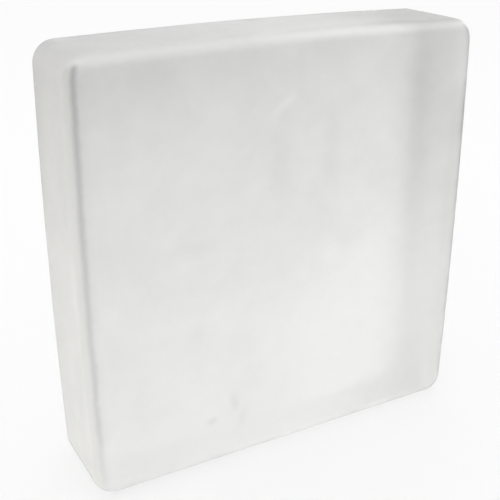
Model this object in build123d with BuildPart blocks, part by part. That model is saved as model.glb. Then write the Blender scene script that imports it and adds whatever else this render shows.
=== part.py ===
from build123d import *

import os

# A solid glass building block with a satin finish, cast in one piece. It stands on its flat base
# with its broad faces looking along -Y and +Y. The origin is in the middle of the base, +X runs
# along the base and +Z is up. All lengths are in millimetres.

# Overall size of the block
block_width = 200.0
block_height = 200.0
block_depth = 50.0

# Rise of the two ends and of the top over their own length: the cast sides are slightly crowned
end_crown = 1.5
top_crown = 1.5

# Roundings: the rim where a broad face meets the sides, and the corners of the flat face inside it
rim_radius = 8.0
face_corner_radius = 2.0

# The rim keeps its width round the corners of the face, so the outline turns on the sum of the two
corner_radius = rim_radius + face_corner_radius

# Face outline without its crowns: the places where two neighbouring sides would meet
half_chord = block_width / 2 - end_crown
chord_height = block_height - top_crown

with BuildPart() as glass_block:
    # Face outline, seen from the front: a straight base, two crowned ends and a crowned top
    with BuildSketch(Plane.XZ) as face_outline:
        with BuildLine():
            Line((-half_chord, 0), (half_chord, 0))
            ThreePointArc((half_chord, 0), (block_width / 2, chord_height / 2), (half_chord, chord_height))
            ThreePointArc((half_chord, chord_height), (0, block_height), (-half_chord, chord_height))
            ThreePointArc((-half_chord, chord_height), (-block_width / 2, chord_height / 2), (-half_chord, 0))
        make_face()
        fillet(face_outline.vertices(), corner_radius)
    extrude(amount=block_depth / 2, both=True)

    # The rims of the front and back faces run into the sides with one soft, even rounding
    broad_faces = glass_block.faces().filter_by(Axis.Y)
    fillet(broad_faces.edges(), rim_radius)

glass_block.part.label = "glass_block"

os.makedirs("parts", exist_ok=True)
export_step(glass_block.part, "parts/glass_block.step")
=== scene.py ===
import math

import bpy
import numpy as np
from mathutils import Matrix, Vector


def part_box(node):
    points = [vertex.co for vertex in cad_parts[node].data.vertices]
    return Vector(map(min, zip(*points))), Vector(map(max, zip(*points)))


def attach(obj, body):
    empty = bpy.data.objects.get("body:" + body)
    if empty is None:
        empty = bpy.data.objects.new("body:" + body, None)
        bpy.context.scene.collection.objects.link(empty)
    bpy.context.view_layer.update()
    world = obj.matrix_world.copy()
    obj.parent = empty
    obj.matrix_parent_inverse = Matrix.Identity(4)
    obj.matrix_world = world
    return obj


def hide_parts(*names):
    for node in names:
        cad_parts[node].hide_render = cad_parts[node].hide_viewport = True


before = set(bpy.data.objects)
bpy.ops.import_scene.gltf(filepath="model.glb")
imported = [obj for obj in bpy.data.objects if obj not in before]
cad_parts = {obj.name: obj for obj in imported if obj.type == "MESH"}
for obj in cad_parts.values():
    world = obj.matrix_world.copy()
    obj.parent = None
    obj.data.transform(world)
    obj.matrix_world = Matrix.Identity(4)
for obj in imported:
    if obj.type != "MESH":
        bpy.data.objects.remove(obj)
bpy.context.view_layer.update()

# The block: one solid slab of clear glass, cast in a single pour and etched to an even satin.
# It stands on its flat base. The two ends and the top swell a little over their length, and a
# soft rim rounds each broad face into the sides without a sharp edge anywhere.

block_low, block_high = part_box("glass_block")
width, depth, height = block_high - block_low
end_crown = 0.0015
top_crown = 0.0015
rim_radius = 0.008
face_corner_radius = 0.002
corner_radius = rim_radius + face_corner_radius
half_chord = width / 2 - end_crown
chord_height = height - top_crown


def bow_radius(chord, rise):
    """Radius of a side that swells by rise over its chord."""
    return (chord ** 2 / 4 + rise ** 2) / (2 * rise)


def unit(vector):
    """The vector at a length of 1."""
    return vector / np.linalg.norm(vector)


# The four sides as circles in the plane of the face, each a centre and a radius: the base has a
# circle so large that it is straight
straight = 1e4
end_bow = bow_radius(chord_height, end_crown)
top_bow = bow_radius(2 * half_chord, top_crown)
base_side = (np.array((0.0, straight)), straight)
right_side = (np.array((width / 2 - end_bow, chord_height / 2)), end_bow)
top_side = (np.array((0.0, height - top_bow)), top_bow)
left_side = (np.array((end_bow - width / 2, chord_height / 2)), end_bow)
sides = [base_side, right_side, top_side, left_side]
sharp_corners = [
    (half_chord, 0.0),
    (half_chord, chord_height),
    (-half_chord, chord_height),
    (-half_chord, 0.0),
]


def corner_centre(side, other, sharp_corner):
    """The middle of the rounding that joins two sides."""
    (centre_a, bow_a), (centre_b, bow_b) = side, other
    a, b = bow_a - corner_radius, bow_b - corner_radius
    between = centre_b - centre_a
    apart = np.linalg.norm(between)
    along = (a ** 2 - b ** 2 + apart ** 2) / (2 * apart)
    across = math.sqrt(a ** 2 - along ** 2)
    forward = between / apart
    sideways = np.array((-forward[1], forward[0]))
    choices = [centre_a + along * forward + turn * across * sideways for turn in (1, -1)]
    return min(choices, key=lambda place: np.linalg.norm(place - np.array(sharp_corner)))


corner_centres = [corner_centre(sides[k], sides[(k + 1) % 4], sharp_corners[k]) for k in range(4)]

# Steps of the mesh along a side, round half a corner, over a rim and across the flat of a side, and
# how much the steps along a side crowd towards its corners
side_steps = 108
corner_steps = 8
rim_steps = 18
flat_steps = 12
crowding = 0.75


def turned(first, last, share):
    """The direction a share of the way from one direction round to another."""
    start = math.atan2(first[1], first[0])
    sweep = (math.atan2(last[1], last[0]) - start + math.pi) % (2 * math.pi) - math.pi
    return np.array((math.cos(start + sweep * share), math.sin(start + sweep * share)))


def crowded(share):
    """A share of the way along a side, drawn towards the nearer corner."""
    return share - crowding * math.sin(2 * math.pi * share) / (2 * math.pi)


def face_outline():
    """Points of the flat face's edge and the directions out of it, anticlockwise from the front,
    from the middle of the lower left corner. Each side comes with the two half corners beside it."""
    to_middle = [0.5 * i / corner_steps for i in range(corner_steps)]
    from_middle = [0.5 + share for share in to_middle]
    along = [crowded(i / side_steps) for i in range(side_steps)]
    points, outward = [], []
    for k in range(4):
        centre, bow = sides[k]
        start, end = corner_centres[k - 1], corner_centres[k]
        before = unit(start - sides[k - 1][0])
        first = unit(start - centre)
        last = unit(end - centre)
        after = unit(end - sides[(k + 1) % 4][0])
        arcs = [
            (start, face_corner_radius, before, first, from_middle),
            (centre, bow - rim_radius, first, last, along),
            (end, face_corner_radius, last, after, to_middle),
        ]
        for middle, radius, from_way, to_way, shares in arcs:
            ways = [turned(from_way, to_way, share) for share in shares]
            points += [middle + radius * way for way in ways]
            outward += ways
    return np.array(points), np.array(outward)


def section_profile():
    """The tilt of the skin and its place through the depth, in steps from the front flat to the back one."""
    quarter = [math.pi / 2 * i / rim_steps for i in range(rim_steps + 1)]
    half_flat = depth / 2 - rim_radius
    front_rim = [(tilt, -half_flat - rim_radius * math.cos(tilt)) for tilt in quarter]
    flat = [(math.pi / 2, half_flat * (2 * i / flat_steps - 1)) for i in range(1, flat_steps)]
    back_rim = [(math.pi - tilt, half_flat + rim_radius * math.cos(tilt)) for tilt in reversed(quarter)]
    return front_rim + flat + back_rim


def stood_up(flat_points, y):
    """Points of the face's plane, stood up in the block at a depth."""
    return np.column_stack((flat_points[:, 0], np.full(len(flat_points), y), flat_points[:, 1]))


def flat_grid(edge, first_on_edge, first_inside):
    """A grid within the edge of a flat, bent to follow all four sides: its inner points, and the
    numbers of all its points in rows."""
    count = len(edge)
    steps = count // 4
    base, right, top, left = (edge[np.arange(k * steps, (k + 1) * steps + 1) % count] for k in range(4))
    top, left = top[::-1], left[::-1]
    along = np.arange(steps + 1)
    rows = np.zeros((steps + 1, steps + 1), int)
    rows[0] = first_on_edge + along
    rows[:, steps] = first_on_edge + steps + along
    rows[steps, ::-1] = first_on_edge + 2 * steps + along
    rows[::-1, 0] = first_on_edge + (3 * steps + along) % count
    rows[1:-1, 1:-1] = first_inside + np.arange((steps - 1) ** 2).reshape(steps - 1, steps - 1)
    u = (along / steps)[None, :, None]
    v = (along / steps)[:, None, None]
    flat = (1 - v) * base[None] + v * top[None] + (1 - u) * left[:, None] + u * right[:, None]
    flat -= (1 - u) * (1 - v) * base[0] + u * (1 - v) * base[-1]
    flat -= (1 - u) * v * top[0] + u * v * top[-1]
    return flat[1:-1, 1:-1].reshape(-1, 2), rows


# The ripple that the mould leaves, from nothing at the base to its full depth a little above it
ripple_depth = 0.00018
ripple_free_base = 0.002
ripple_full_height = 0.02
ripple_waves = 30
ripple_shortest = 0.03
ripple_longest = 0.11
ripple_seed = 7


def cast_ripple(places):
    """From 0 to 1: the slow, shallow unevenness of the cast face."""
    draw = np.random.default_rng(ripple_seed)
    total = np.zeros(len(places))
    for wavelength in np.geomspace(ripple_shortest, ripple_longest, ripple_waves):
        way = unit(draw.normal(size=3))
        shift = draw.uniform(0, 2 * math.pi)
        total += wavelength * np.sin(places @ way * 2 * math.pi / wavelength + shift)
    return (total - total.min()) / (total.max() - total.min())


def cast_block():
    """The block's skin: rings from the front flat over both rims, closed by a grid on each flat."""
    edge, outward = face_outline()
    count = len(edge)
    profile = section_profile()
    places, normals, faces = [], [], []
    for tilt, y in profile:
        places.append(stood_up(edge + rim_radius * math.sin(tilt) * outward, y))
        normals.append(stood_up(outward * math.sin(tilt), -math.cos(tilt)))
    for ring in range(len(profile) - 1):
        here = ring * count + np.arange(count)
        beside = ring * count + (np.arange(count) + 1) % count
        faces.append(np.column_stack((here, here + count, beside + count, beside)))
    for facing, ring in ((-1, 0), (1, len(profile) - 1)):
        inside, rows = flat_grid(edge, ring * count, sum(len(group) for group in places))
        places.append(stood_up(inside, facing * depth / 2))
        normals.append(stood_up(np.zeros_like(inside), facing))
        corners = (rows[:-1, :-1], rows[:-1, 1:], rows[1:, 1:], rows[1:, :-1])
        quads = np.stack(corners, axis=-1).reshape(-1, 4)
        faces.append(quads if facing < 0 else quads[:, ::-1])
    places, normals = np.concatenate(places), np.concatenate(normals)
    lift = np.clip((places[:, 2] - ripple_free_base) / (ripple_full_height - ripple_free_base), 0, 1)
    places -= normals * (ripple_depth * cast_ripple(places) * lift)[:, None]
    mesh = bpy.data.meshes.new("glass_block_skin")
    mesh.from_pydata(places.tolist(), [], np.concatenate(faces).tolist())
    mesh.polygons.foreach_set("use_smooth", [True] * len(mesh.polygons))
    mesh.update()
    return mesh


class Wire:
    """A socket in a node tree. Sums on it add Math nodes, and node() adds any other node."""

    def __init__(self, tree, socket=None):
        self.tree = tree
        self.socket = socket

    def node(self, kind, settings, sockets, output=0):
        """Adds a node, makes its settings, then fills or links its sockets, and gives one output."""
        made = self.tree.nodes.new("ShaderNode" + kind)
        for name, value in settings.items():
            setattr(made, name, value)
        for name, value in sockets.items():
            if isinstance(value, Wire):
                self.tree.links.new(value.socket, made.inputs[name])
            else:
                made.inputs[name].default_value = value
        return Wire(self.tree, made.outputs[output] if made.outputs else None)

    def sum(self, operation, first, second):
        """Adds a Math node on two values."""
        return self.node("Math", {"operation": operation}, {0: first, 1: second})

    def __add__(self, other):
        return self.sum("ADD", self, other)

    def __radd__(self, other):
        return self.sum("ADD", other, self)

    def __sub__(self, other):
        return self.sum("SUBTRACT", self, other)

    def __rsub__(self, other):
        return self.sum("SUBTRACT", other, self)

    def __mul__(self, other):
        return self.sum("MULTIPLY", self, other)

    def __rmul__(self, other):
        return self.sum("MULTIPLY", other, self)

    def __truediv__(self, other):
        return self.sum("DIVIDE", self, other)

    def __rtruediv__(self, other):
        return self.sum("DIVIDE", other, self)

    def __lt__(self, other):
        return self.sum("LESS_THAN", self, other)

    def __gt__(self, other):
        return self.sum("GREATER_THAN", self, other)

    def __abs__(self):
        return self.sum("ABSOLUTE", self, 0.0)


def new_material(name):
    """A named material with an empty node tree."""
    material = bpy.data.materials.new(name)
    material.use_nodes = True
    material.node_tree.nodes.clear()
    return material, Wire(material.node_tree)


def axes(vector):
    """The three numbers of a vector."""
    return [vector.node("SeparateXYZ", {}, {"Vector": vector}, axis) for axis in "XYZ"]


def angle(rise, run):
    """The angle in degrees of a slope."""
    return rise.sum("ARCTAN2", rise, run) * math.degrees(1)


def eased(value, span, first, last):
    """Goes softly from first to last while the value goes through the span."""
    return value.node("MapRange", {"interpolation_type": "SMOOTHSTEP"}, {
        "Value": value, "From Min": span[0], "From Max": span[1], "To Min": first, "To Max": last})


def ridge(value, middle, half_width, crest):
    """Highest where the value is at the middle, and softly down to nothing on both sides."""
    return eased(abs(value - middle), (0.0, half_width), crest, 0.0)


def blended(share, first, second, blend="MIX"):
    """Two colours mixed by a share. A Mix node counts its share as 0, its colours as 6 and 7."""
    settings = {"data_type": "RGBA", "blend_type": blend}
    return share.node("Mix", settings, {0: share, 6: first, 7: second}, 2)


def clouds(place, look, dimensions="3D"):
    """Soft clouds from 0 to 1."""
    return place.node("TexNoise", {"noise_dimensions": dimensions}, {"Vector": place, **look}, "Fac")


# The soft clouds that lie all through the satin, and the stretch of the block's width over which
# what holds at the left gives way to what holds at the right
cloud_look = {"Scale": 60.0, "Detail": 5.0, "Roughness": 0.6}
other_cloud_look = {"Scale": 80.0, "Detail": 3.0, "W": 5.0}
middle_span = (-0.05, 0.05)


class Skin:
    """A point of the block's skin: where it is, which way it faces, and the clouds it lies in."""

    def __init__(self, wire):
        self.place = wire.node("TexCoord", {}, {}, "Object")
        self.x, self.y, self.z = axes(self.place)
        self.facing_x, self.facing_y, self.facing_z = axes(wire.node("NewGeometry", {}, {}, "Normal"))
        self.front = self.y < 0
        self.up = self.z / height
        self.left = 0.5 - self.x / width
        self.right = eased(self.x, middle_span, 0.0, 1.0)
        self.cloud = clouds(self.place, cloud_look) - 0.5
        self.other_cloud = clouds(self.place, other_cloud_look, "4D") - 0.5


# How thick the satin is everywhere, then painted shade that darkens it more towards the top and more
# towards the left at the base and at the top, how far the satin strays with the clouds, and how
# much less there is on the narrow sides
haze_least = 0.125
painted_shade_up = 0.44
painted_shade_left_base = 0.14
painted_shade_left_top = 0.24
haze_mottle = 0.33
narrow_clear = 0.03
narrow_facing = (0.05, 0.4)


def satin_and_painted_shade(skin):
    """The satin over the whole block, with painted shade darker towards the top and the left."""
    # Painted shade, darker towards the left and more so higher up
    painted_left_shade = skin.left * (skin.up * (painted_shade_left_top - painted_shade_left_base) + painted_shade_left_base)
    narrow = eased(abs(skin.facing_y), narrow_facing, narrow_clear, 0.0)
    return haze_least + skin.up * skin.up * painted_shade_up + painted_left_shade + skin.cloud * haze_mottle - narrow


# Painted light on the front: a round pool of it at its lower right, and more towards its foot
pool_place = (0.045, 0.055)
pool_reach = 0.06364
painted_pool_light = 0.20
foot_top = 0.050
painted_foot_light = 0.14


def painted_front_light(skin):
    """How much painted light lightens the front."""
    across = (skin.x - pool_place[0]) / pool_reach
    over = (skin.z - pool_place[1]) / pool_reach
    pool = eased(across * across + over * over, (0.0, 1.0), painted_pool_light, 0.0)
    foot = eased(skin.z, (0.0, foot_top), painted_foot_light, 0.0)
    return (pool + foot) * skin.front


# Painted shade on the top: more at its left, less in the middle and the most at its right
top_left = 0.16
top_middle = 0.05
top_right = 0.63
top_left_span = (-0.06, 0.0)
top_right_span = (0.02, 0.075)
top_facing = (0.6, 0.95)


def top_painted_shade(skin):
    """The painted shade that darkens the top beyond the rest."""
    lengthwise = eased(skin.x, top_left_span, top_left, top_middle)
    lengthwise = lengthwise + eased(skin.x, top_right_span, 0.0, top_right - top_middle)
    return eased(skin.facing_z, top_facing, 0.0, 1.0) * lengthwise


# Painted shade along the right edge of the front, darker below and lighter at its top, and a strip of
# painted light beside it
edge_span = (0.083, 0.091)
edge_below = 0.14
edge_above = -0.11
edge_top_span = (0.150, 0.180)
strip_place = 0.079
strip_half_width = 0.014
strip_painted_light = 0.09
upright_facing = (0.3, 0.7)


def right_edge_light_and_shade(skin):
    """Painted light and shade along the right edge of the front."""
    edge = eased(skin.x, edge_span, 0.0, 1.0) * eased(skin.z, edge_top_span, edge_below, edge_above)
    strip = ridge(skin.x, strip_place, strip_half_width, strip_painted_light)
    return (edge - strip) * eased(skin.facing_z, upright_facing, 1.0, 0.0) * skin.front


# The crest, where the front rolls over into the top, carries a painted highlight, strongest at its
# right, and the brow under it painted shade towards its left: the roll is in degrees from the front
crest_roll = 52.0
crest_half_roll = 34.0
crest_left = 0.36
crest_right = 0.80
crest_span = (-0.04, 0.09)
crest_end_facing = (0.4, 0.9)
brow_span = (0.160, 0.188)
brow_painted_shade = 0.14
brow_facing = (-0.98, -0.85)


def crest_light_and_shade(skin):
    """The upper front rim: painted shade on the brow, less the painted highlight on the crest."""
    crest = ridge(angle(skin.facing_z, skin.facing_y * -1), crest_roll, crest_half_roll, 1.0)
    crest = crest * eased(abs(skin.facing_x), crest_end_facing, 1.0, 0.0)
    brow = eased(skin.z, brow_span, 0.0, brow_painted_shade) * eased(skin.facing_y, brow_facing, 1.0, 0.0)
    return brow * skin.left - crest * eased(skin.x, crest_span, crest_left, crest_right)


# Marks on the front face: place along and up it, half length and half width, slope of the length in
# degrees, and how much darker they make it; one with a negative strength is a brighter streak
marks = [
    (-0.0060, 0.1480, 0.0170, 0.0045, 90, 0.13),
    (-0.0070, 0.1370, 0.0060, 0.0050, 90, 0.12),
    (0.0190, 0.1520, 0.0160, 0.0045, 90, 0.11),
    (0.0185, 0.1390, 0.0050, 0.0045, 90, 0.12),
    (-0.0056, 0.1707, 0.0060, 0.0018, 38, -0.21),
    (-0.0420, 0.0255, 0.0025, 0.0022, 0, 0.30),
    (-0.0295, 0.0320, 0.0040, 0.0020, 100, 0.23),
    (-0.0255, 0.0230, 0.0045, 0.0020, 75, 0.20),
    (-0.0757, 0.1150, 0.0100, 0.0050, -15, 0.08),
    (-0.0470, 0.1140, 0.0120, 0.0035, -5, 0.09),
    (-0.0535, 0.0955, 0.0090, 0.0060, 0, 0.08),
    (-0.0790, 0.0885, 0.0080, 0.0060, 80, 0.07),
    (-0.0635, 0.1640, 0.0140, 0.0080, 10, 0.08),
    (-0.0300, 0.1150, 0.0500, 0.0300, 0, 0.08),
    (0.0660, 0.0200, 0.0300, 0.0180, 20, 0.17),
    (0.0770, 0.0170, 0.0110, 0.0100, 20, 0.12),
]
# What is left of a mark at its edge, and how far the clouds shift that edge
mark_at_edge = 0.45
mark_wander = 0.006


def front_marks(skin):
    """Soft darker patches and one brighter streak on the front, uneven and with wandering edges."""
    x = skin.x + skin.cloud * mark_wander
    z = skin.z + skin.other_cloud * mark_wander
    total = 0
    for along, high, half_length, half_width, slope, strength in marks:
        lean_x = math.cos(math.radians(slope))
        lean_z = math.sin(math.radians(slope))
        lengthwise = ((x - along) * lean_x + (z - high) * lean_z) / half_length
        sideways = ((z - high) * lean_x - (x - along) * lean_z) / half_width
        off_centre = lengthwise * lengthwise + sideways * sideways
        total = x.sum("POWER", mark_at_edge, off_centre) * strength + total
    return total * skin.front * (skin.other_cloud + 1)


# Painted shade: a dark line down each upright front rim, in degrees of the turn from the front to
# the end: its place at the left and at the right, its half width and that of its skirt, how far the
# clouds shift it, and how strong line and skirt are
rim_shade_turn_left = 37.0
rim_shade_turn_right = 29.0
rim_shade_half_turn = 18.0
rim_shade_skirt_half_turn = 45.0
rim_shade_wander = 22.0
rim_shade_line = 0.72
rim_shade_skirt = 0.32

# It fades towards the corners, lower down, at the foot, and at the top of the right rim
rim_shade_corner_facing = (0.45, 0.75)
rim_shade_low_share = 0.44
rim_shade_foot_span = (0.005, 0.045)
rim_shade_foot_share = 0.3
rim_shade_top_span = (0.150, 0.185)
rim_shade_top_right_loss = 0.55


def painted_rim_shade(skin):
    """How much painted shade lies down the upright front rims."""
    place = skin.right * (rim_shade_turn_right - rim_shade_turn_left) + rim_shade_turn_left
    turn = angle(abs(skin.facing_x), abs(skin.facing_y)) + skin.cloud * rim_shade_wander
    rim_shade = ridge(turn, place, rim_shade_half_turn, rim_shade_line)
    rim_shade = rim_shade + ridge(turn, place, rim_shade_skirt_half_turn, rim_shade_skirt)
    rim_shade = rim_shade * skin.front * eased(abs(skin.facing_z), rim_shade_corner_facing, 1.0, 0.0)
    rim_shade = rim_shade * (skin.up * skin.up * (1 - rim_shade_low_share) + rim_shade_low_share)
    rim_shade = rim_shade * eased(skin.z, rim_shade_foot_span, rim_shade_foot_share, 1.0)
    return rim_shade * (1 - skin.right * eased(skin.z, rim_shade_top_span, 0.0, rim_shade_top_right_loss))


# Painted shade: the dark band beside each upright back rim, which shows softly through the glass:
# its place from the middle of the back, its half width and strength, and what is left of it at the
# left, low down and at the top
band_place = 0.092
band_half_width = 0.011
band_strength = 0.82
band_left_share = 0.5
band_low_span = (0.05, 0.19)
band_low_share = 0.6
band_top_span = (0.178, 0.196)
band_top_share = 0.2


def back_painted_shade(skin):
    """How dark the painted shade of the bands on the back is."""
    back_shade = ridge(abs(skin.x), band_place, band_half_width, band_strength)
    back_shade = back_shade * (skin.y > depth / 2 - rim_radius)
    back_shade = back_shade * (skin.right * (1 - band_left_share) + band_left_share)
    back_shade = back_shade * eased(skin.z, band_low_span, band_low_share, 1.0)
    return back_shade * eased(skin.z, band_top_span, 1.0, band_top_share)


# The colours of clear glass, of the satin and painted shade, of the painted shade down the front rims
# and in the back bands, and the painted warm light that makes the left end a trace warmer than the rest
glass_colour = (0.985, 0.985, 0.980, 1)
satin_and_shade_colour = (0.585, 0.585, 0.583, 1)
rim_shade_colour = (0.34, 0.34, 0.335, 1)
back_shade_colour = (0.12, 0.12, 0.118, 1)
painted_warm_light = (1.0, 0.988, 0.955, 1)
painted_warm_facing = (-0.9, -0.5)

# The etched skin, rough with a fine grain, and the glass inside, which takes a little of the light
satin_roughness = 0.52
roughness_spread = 0.08
grain_look = {"Scale": 1400.0, "Detail": 2.0}
grain_depth = 0.000005
glass_transmission = 0.8
glass_ior = 1.5
absorption_colour = (0.5, 0.5, 0.49, 1)
absorption_density = 0.3


def satin_glass():
    """Clear glass with an etched, evenly rough skin: light passes, but nothing shows sharply through."""
    material, wire = new_material("satin_glass")
    skin = Skin(wire)
    # The satin, with painted shade and painted light mixed into it
    satin_and_shade = satin_and_painted_shade(skin) - painted_front_light(skin) + top_painted_shade(skin) + right_edge_light_and_shade(skin)
    satin_and_shade = satin_and_shade + crest_light_and_shade(skin) + front_marks(skin)
    colour = blended(satin_and_shade, glass_colour, satin_and_shade_colour)
    # Painted warm light on the left end
    colour = blended(eased(skin.facing_x, painted_warm_facing, 1.0, 0.0), colour, painted_warm_light, "MULTIPLY")
    # Painted shade: a dark line down each upright front rim
    colour = blended(painted_rim_shade(skin), colour, rim_shade_colour)
    # Painted shade: a dark band beside each upright back rim
    colour = blended(back_painted_shade(skin), colour, back_shade_colour)
    roughness = satin_roughness + skin.cloud * roughness_spread
    grain = clouds(skin.place, grain_look)
    bump = wire.node("Bump", {}, {"Height": grain, "Strength": 1.0, "Distance": grain_depth})
    glass = wire.node("BsdfPrincipled", {}, {
        "Base Color": colour, "Roughness": roughness, "Normal": bump,
        "IOR": glass_ior, "Transmission Weight": glass_transmission})
    inside = wire.node("VolumeAbsorption", {}, {"Color": absorption_colour, "Density": absorption_density})
    wire.node("OutputMaterial", {}, {"Surface": glass, "Volume": inside})
    return material


scene = bpy.context.scene
block = bpy.data.objects.new("cast_glass_block", cast_block())
scene.collection.objects.link(block)
block.data.materials.append(satin_glass())
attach(block, "root")
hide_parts("glass_block")

# The floor: a plain pale studio table top that runs far past the picture on every side. The block
# stands on it, a hair above, so that the two skins don't share a plane.

floor_reach = 12.0
floor_gap = 0.0002
floor_colour = (0.85, 0.85, 0.85, 1)
# The share of plain white in the floor as it is seen, also in and through the glass, so that the
# shadow stays light
floor_white = (1, 1, 1, 1)
floor_white_share = 0.55

floor_mesh = bpy.data.meshes.new("studio_floor")
floor_corners = [(-1, -1), (1, -1), (1, 1), (-1, 1)]
floor_places = [(x * floor_reach, y * floor_reach, -floor_gap) for x, y in floor_corners]
floor_mesh.from_pydata(floor_places, [], [(0, 1, 2, 3)])
floor_material, floor_wire = new_material("pale_floor")
floor_paint = floor_wire.node("BsdfDiffuse", {}, {"Color": floor_colour})
floor_glow = floor_wire.node("Emission", {}, {"Color": floor_white, "Strength": 1.0})
seen = 0
for ray in ("Is Camera Ray", "Is Glossy Ray", "Is Transmission Ray"):
    seen = floor_wire.sum("MAXIMUM", floor_wire.node("LightPath", {}, {}, ray), seen)
floor_look = floor_wire.node("MixShader", {}, {0: seen * floor_white_share, 1: floor_paint, 2: floor_glow})
floor_wire.node("OutputMaterial", {}, {"Surface": floor_look})
floor_material.cycles.emission_sampling = "NONE"
floor_mesh.materials.append(floor_material)
floor = bpy.data.objects.new("studio_floor", floor_mesh)
scene.collection.objects.link(floor)

# The light: a white room whose walls glow softly and almost evenly, a little more at the left, above,
# and at the right in front and behind, with one weak lamp overhead. Down to the floor the walls are
# as pale as the floor itself, so that no line shows between them.

room_colour = (1, 1, 1, 1)
room_level = 0.69
low_wall_level = 0.98
low_wall_span = (0.0, 0.25)
# Each glow: the way to its middle, its strength, how tightly it keeps to its middle
glows = [
    ((-0.94, -0.34, 0.0), 0.9, 6.0),
    ((0.0, 0.0, 1.0), 0.36, 4.0),
    ((0.5, -0.866, 0.0), 0.2, 4.0),
    ((0.5, 0.83, 0.25), 0.6, 8.0),
]

world = bpy.data.worlds.new("studio_room")
scene.world = world
world.use_nodes = True
world.node_tree.nodes.clear()
room = Wire(world.node_tree)
way = room.node("TexCoord", {}, {}, "Generated")
level = room_level
for middle, strength, tightness in glows:
    ways = {0: way, 1: Vector(middle).normalized()}
    near = room.node("VectorMath", {"operation": "DOT_PRODUCT"}, ways, "Value")
    level = room.sum("POWER", (near + 1) / 2, tightness) * strength + level
low_wall = eased(axes(way)[2], low_wall_span, 1.0, 0.0)
level = level + low_wall * (low_wall_level - level)
walls = room.node("Background", {}, {"Color": room_colour, "Strength": level})
room.node("OutputWorld", {}, {"Surface": walls})

lamp_place = (0.1, 0.2, 1.1)
lamp_aim = (0.08, 0.16, 0.0)
lamp_size = 1.2
lamp_power = 1.0


def aimed(data, place, aim):
    """A lamp or camera at a place, turned towards another."""
    thing = bpy.data.objects.new(data.name, data)
    thing.location = place
    thing.rotation_mode = "QUATERNION"
    thing.rotation_quaternion = (Vector(aim) - Vector(place)).to_track_quat("-Z", "Y")
    scene.collection.objects.link(thing)
    return thing


lamp_data = bpy.data.lights.new("soft_lamp", "AREA")
lamp_data.shape = "DISK"
lamp_data.size = lamp_size
lamp_data.energy = lamp_power
aimed(lamp_data, lamp_place, lamp_aim)

# The camera: at the left of the block's front and a little above it, close enough that the far
# edge of the block draws in. Light crosses the glass many times over, so it gets many bounces.

camera_place = (-0.1965, -0.3387, 0.2598)
camera_aim = (-0.0082, 0.0, 0.0957)
camera_sensor = 36.0
camera_lens = 63.95
glass_bounces = 24
gloss_bounces = 12

camera_data = bpy.data.cameras.new("camera")
camera_data.sensor_width = camera_sensor
camera_data.lens = camera_lens
scene.camera = aimed(camera_data, camera_place, camera_aim)
scene.view_settings.view_transform = "Standard"
scene.cycles.max_bounces = glass_bounces
scene.cycles.transmission_bounces = glass_bounces
scene.cycles.glossy_bounces = gloss_bounces
scene.cycles.blur_glossy = 0.0
